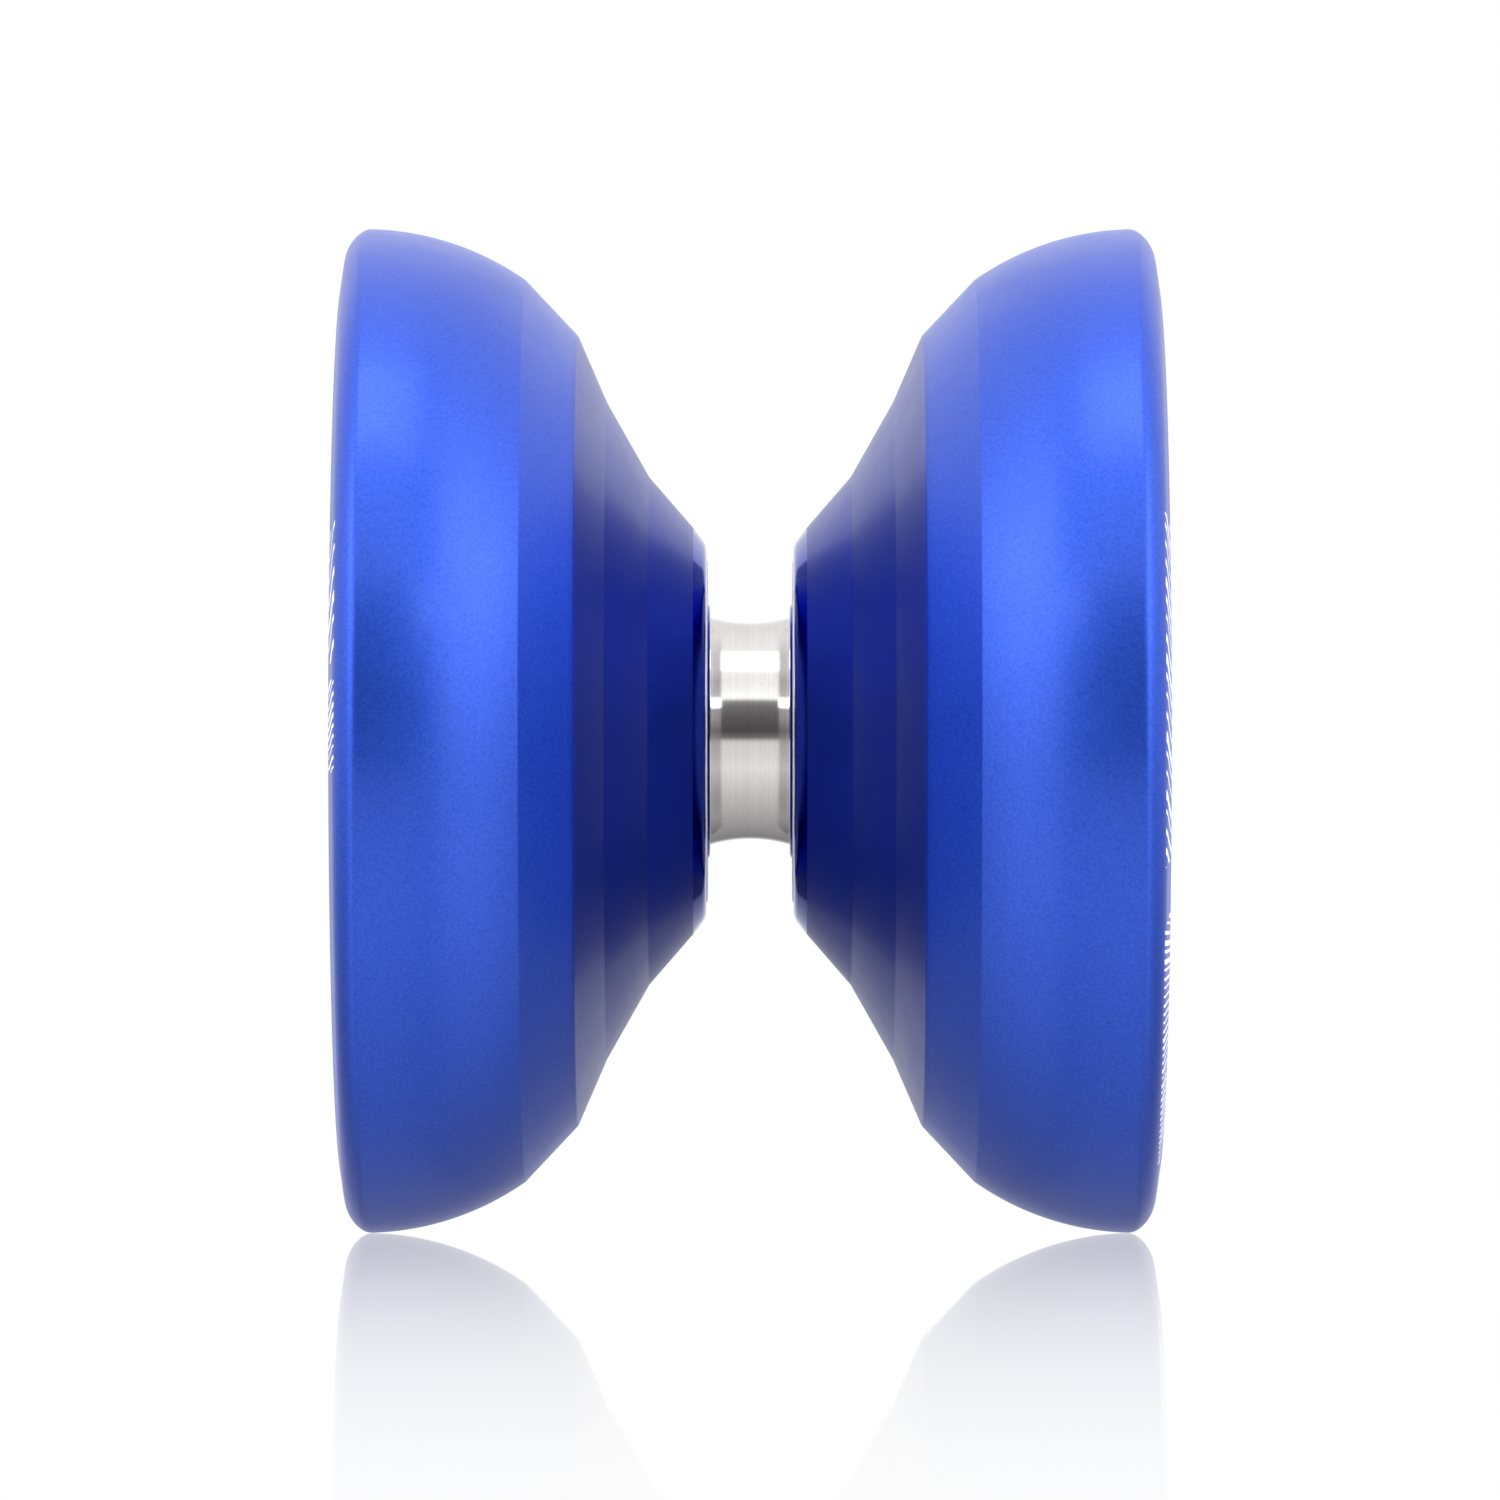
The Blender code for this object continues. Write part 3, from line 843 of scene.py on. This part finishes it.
def table_top_material():
    """White, with a mirror image that fades with the distance in front of or behind the axle."""
    fade_reach, fade_power, shine_share = 0.13, 1.5, 0.68
    made = bpy.data.materials.new("white_table_top")
    made.use_nodes = True
    made.node_tree.nodes.clear()
    n = Nodes(made.node_tree)
    across = n.add("SeparateXYZ", {0: n.object_place()}).outputs[1]
    away = n.math("POWER", n.math("DIVIDE", n.math("ABSOLUTE", across), fade_reach), fade_power)
    fade = n.math("EXPONENT", n.product(away, -1.0))
    fresnel = n.add("Fresnel", {"IOR": 1.45}).outputs[0]
    glow = add_shader(n, "Emission", {})
    gloss = add_shader(n, "BsdfGlossy", {"Color": (1, 1, 1, 1), "Roughness": 0.02})
    shine = n.product(fresnel, shine_share, fade)
    n.add("OutputMaterial", {0: add_shader(n, "MixShader", {0: shine, 1: glow, 2: gloss})})
    return made


def make_floor():
    """A white glossy table top. It takes no part in lighting the object: the tent below the horizon
    does that."""
    size, gap = 6.0, 0.02 * MM
    height = cad_box[LOW][Z] - gap
    corners = [(-size, -size), (size, -size), (size, size), (-size, size)]
    mesh = bpy.data.meshes.new("table_top")
    mesh.from_pydata([(x, y, height) for x, y in corners], [], [(0, 1, 2, 3)])
    mesh.materials.append(table_top_material())
    floor = bpy.data.objects.new("table_top", mesh)
    bpy.context.scene.collection.objects.link(floor)
    floor.visible_diffuse = False
    floor.visible_glossy = False
    floor.visible_shadow = False


# The tent's light by the angle about the x axis, in degrees: 0 is level towards the viewer, 90
# straight up, 180 the backdrop and 270 the table below. Each row gives the level in the middle of
# the tent, at the seams on both sides of that, and beside the seams.
TENT_LIGHT = [
    (0, 0.13, 0.27, 2.3),
    (15, 0.2, 0.56, 3.1),
    (24, 0.28, 0.6, 3.25),
    (27, 0.32, 4.2, 3.3),
    (32, 0.5, 5.0, 3.5),
    (35, 1.9, 3.0, 3.6),
    (38, 2.1, 0.95, 3.7),
    (46, 1.85, 0.82, 4.1),
    (56, 1.7, 0.75, 4.2),
    (67, 1.8, 1.0, 3.3),
    (70, 4.6, 1.05, 3.0),
    (92, 3.6, 1.1, 1.9),
    (95, 1.7, 1.2, 1.8),
    (118, 1.55, 1.45, 1.4),
    (150, 1.2, 0.95, 1.3),
    (180, 1.0, 1.0, 1.0),
    (205, 0.32, 0.3, 0.4),
    (230, 0.52, 0.3, 0.38),
    (255, 0.72, 0.55, 0.69),
    (285, 1.0, 0.56, 1.28),
    (320, 1.45, 0.95, 1.83),
    (348, 1.22, 0.68, 1.87),
    (353, 0.28, 0.4, 2.0),
    (360, 0.13, 0.27, 2.3),
]

# The side walls' light at the height of the object, and how much it rises towards straight up
SIDE_WALL_LIGHT = 1.15
SIDE_WALL_RISE = 1.3

# Where the tent's parts meet, as shares of the way to its sides: each change starts at the first
# and ends at the second. Overhead the seams draw in, down to this share of their width.
MIDDLE_ENDS = (0.39, 0.43)
SEAM_ENDS = (0.53, 0.59)
SIDE_WALL_STARTS = (0.75, 0.98)
LEAST_WIDTH = 0.5


def tent_level(n):
    """The tent's brightness in the direction of a ray."""
    x, y, z = n.add("SeparateXYZ", {0: n.add("TexCoord").outputs["Generated"]}).outputs
    angle = n.math("ARCTAN2", z, n.product(y, -1.0))
    turn = n.math("FRACT", n.math("DIVIDE", angle, 2 * math.pi))
    top = max(max(levels) for _, *levels in TENT_LIGHT)
    ramp = n.add("ValToRGB", {0: turn})
    stops = ramp.color_ramp.elements
    stops[0].position, stops[-1].position = 0, 1
    for row_angle, *_ in TENT_LIGHT[1:-1]:
        stops.new(row_angle / 360)
    for stop, (_, *levels) in zip(stops, TENT_LIGHT):
        stop.color = (*[level / top for level in levels], 1)
    middle, seam, beside = n.add("SeparateColor", {0: ramp.outputs[0]}).outputs

    sideways = n.math("ABSOLUTE", x)
    wall = n.ranged(sideways, *SIDE_WALL_STARTS, smooth=True)
    narrowing = n.math("ABSOLUTE", n.math("COSINE", n.product(turn, math.pi)))
    sideways = n.math("DIVIDE", sideways, n.math("MAXIMUM", narrowing, LEAST_WIDTH))
    past_middle = n.ranged(sideways, *MIDDLE_ENDS, smooth=True)
    past_seam = n.ranged(sideways, *SEAM_ENDS, smooth=True)
    inner_wall = n.math("MINIMUM", wall, past_seam)
    level = n.math("ADD", n.product(middle, n.math("SUBTRACT", 1.0, past_middle)),
                   n.product(seam, n.math("SUBTRACT", past_middle, past_seam)))
    level = n.math("ADD", level, n.product(beside, n.math("SUBTRACT", past_seam, inner_wall)))
    wall_light = n.math("ADD", n.product(z, SIDE_WALL_RISE / top), SIDE_WALL_LIGHT / top)
    level = n.math("ADD", level, n.product(inner_wall, wall_light))
    return n.product(level, top)


def make_tent():
    """A white light tent, into which the viewer looks through a dark opening. The backdrop itself
    shows as plain white."""
    world = bpy.data.worlds.new("light_tent")
    bpy.context.scene.world = world
    world.use_nodes = True
    world.node_tree.nodes.clear()
    n = Nodes(world.node_tree)
    tent = add_shader(n, "Background", {"Color": (1, 1, 1, 1), "Strength": tent_level(n)})
    plain = add_shader(n, "Background", {"Color": (1, 1, 1, 1)})
    seen = n.add("LightPath").outputs["Is Camera Ray"]
    n.add("OutputWorld", {0: add_shader(n, "MixShader", {0: seen, 1: tent, 2: plain})})


def make_camera():
    """Level with the axle and square to it, from 0.7 m, with a long lens."""
    distance, below_axle = 0.7, 1.06 * MM
    data = bpy.data.cameras.new("camera")
    data.lens = 300.9
    data.sensor_width = 36
    data.clip_start = 0.01
    camera = bpy.data.objects.new("camera", data)
    bpy.context.scene.collection.objects.link(camera)
    camera.location = (0, -distance, -below_axle)
    camera.rotation_euler = (math.pi / 2, 0, 0)
    bpy.context.scene.camera = camera


make_object()
make_floor()
make_tent()
make_camera()
bpy.context.scene.view_settings.view_transform = "Standard"
